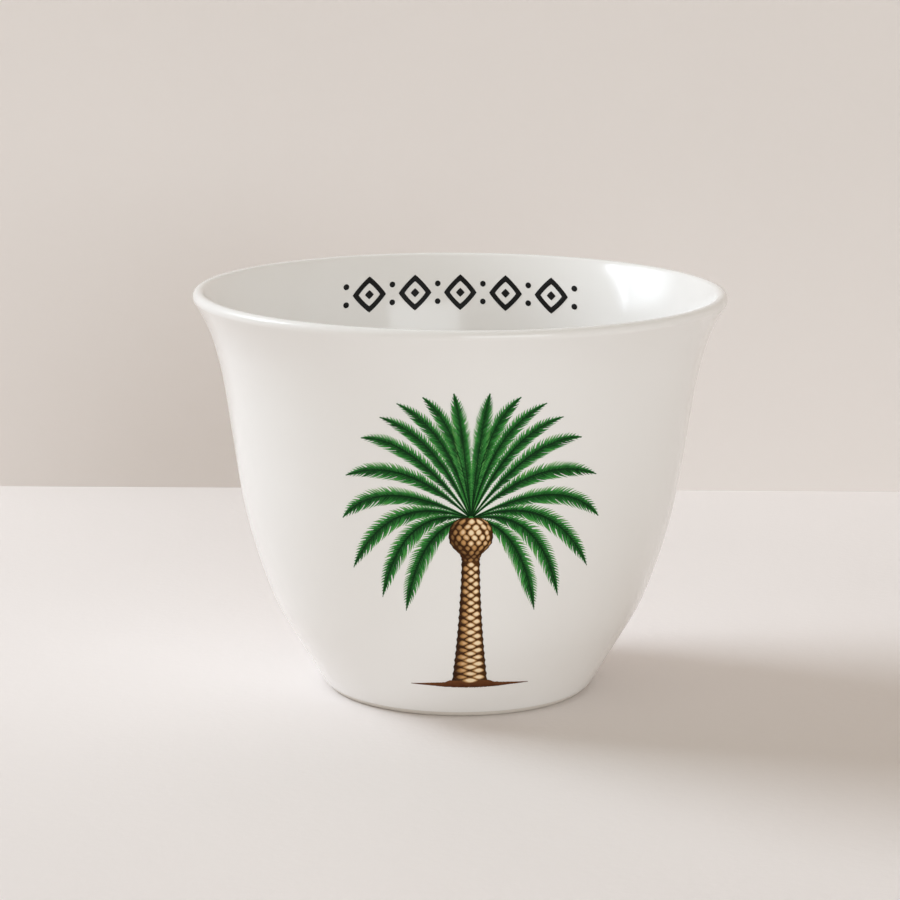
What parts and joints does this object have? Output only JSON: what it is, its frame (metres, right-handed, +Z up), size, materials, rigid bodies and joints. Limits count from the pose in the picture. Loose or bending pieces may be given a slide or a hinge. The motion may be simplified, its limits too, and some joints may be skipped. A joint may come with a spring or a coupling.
{
  "type": "coffee cup",
  "caption": "Small handleless porcelain coffee cup with a flared rounded lip, a recessed foot ring, a date palm in fired-on colours outside and a lozenge ornament inside.",
  "frame": {"origin": "centre of the foot, on the surface that the cup stands on", "axes": "+Z up along the axis that the cup is turned about; -Y is the side with the palm; +X is to the right when looking at the palm"},
  "size_m": [0.07, 0.07, 0.0532],
  "materials": {
    "porcelain": "bare fired porcelain, matt",
    "glaze": "clear glossy glaze over white porcelain",
    "frond_green": "fired-on green, gloss",
    "rib_green": "fired-on dark green, gloss",
    "bark_brown": "fired-on brown, gloss",
    "scale_tan": "fired-on tan, gloss",
    "ground_brown": "fired-on dark brown, gloss",
    "band_black": "fired-on black, gloss"
  },
  "bodies": {
    "root": {"porcelain_body": "porcelain", "glaze_coat": "glaze", "foot_glaze": "glaze", "palm_fronds": "frond_green", "palm_ribs": "rib_green", "palm_trunk": "bark_brown", "palm_scales": "scale_tan", "palm_ground": "ground_brown", "inner_band": "band_black"}
  },
  "joints": []
}
